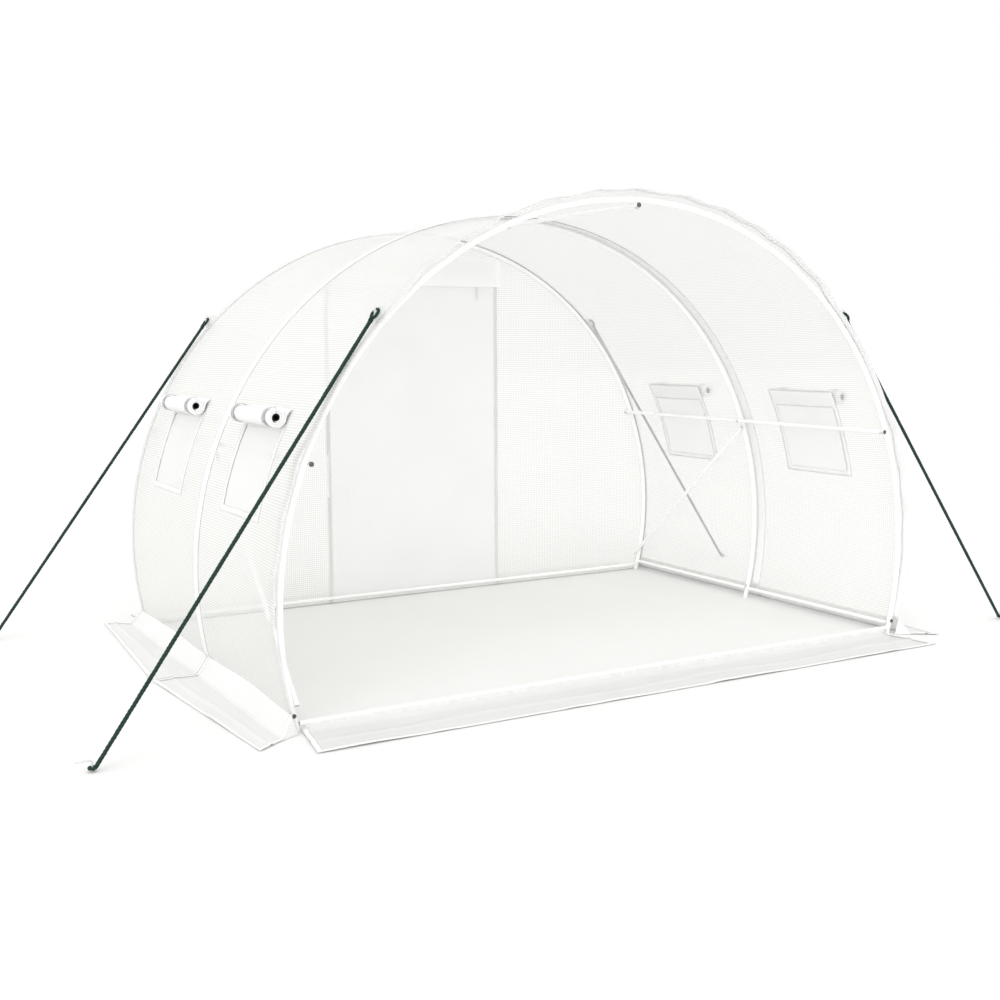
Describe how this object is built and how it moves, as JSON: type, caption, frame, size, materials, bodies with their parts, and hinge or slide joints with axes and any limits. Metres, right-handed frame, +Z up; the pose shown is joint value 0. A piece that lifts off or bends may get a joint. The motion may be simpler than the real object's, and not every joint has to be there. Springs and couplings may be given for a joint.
{
  "type": "polytunnel greenhouse",
  "caption": "Garden polytunnel with bent tube hoops under a pale woven film cover, open at one end, with a mesh door, roll-up side windows, ground flaps and guy ropes.",
  "frame": {"origin": "middle of the footprint on the ground", "axes": "+Z up, open front towards -Y, +X to the right when looking in through the open front"},
  "size_m": [4.59, 2.5849, 1.9848],
  "materials": {
    "tube": "white powder coat, satin",
    "film": "translucent woven film, soft sheen",
    "mesh": "fine insect mesh",
    "hem": "sewn white tape",
    "zip": "zip with white tape",
    "webbing": "woven tape",
    "rope": "twisted dark green cord",
    "roll_bar": "black plastic tube",
    "peg_steel": "galvanised wire"
  },
  "bodies": {
    "root": {"front_hoop": "tube", "middle_hoop": "tube", "back_hoop": "tube", "ridge_purlin": "tube", "left_purlin": "tube", "right_purlin": "tube", "front_base_rail": "tube", "back_base_rail": "tube", "left_base_rails": "tube", "right_base_rails": "tube", "left_brace": "tube", "right_brace": "tube", "left_lower_cover": "film", "right_lower_cover": "film", "left_window_cover": "film", "right_window_cover": "film", "left_shoulder_cover": "film", "right_shoulder_cover": "film", "roof_cover": "film", "back_wall_left": "film", "back_wall_right": "film", "back_wall_top": "film", "door_roll": "film", "left_window_rolls": "film", "right_window_rolls": "film", "front_flap_edge": "film", "front_ground_flap": "film", "back_ground_flap": "film", "left_ground_flaps": "film", "right_ground_flaps": "film", "back_door_screen": "mesh", "left_window_screens": "mesh", "right_window_screens": "mesh", "left_window_hems": "hem", "right_window_hems": "hem", "door_zips": "zip", "door_roll_ties": "webbing", "left_roll_ties": "webbing", "right_roll_ties": "webbing", "rope_tabs": "webbing", "guy_ropes": "rope", "ground_pegs": "peg_steel", "left_roll_bars": "roll_bar", "right_roll_bars": "roll_bar"}
  },
  "joints": []
}
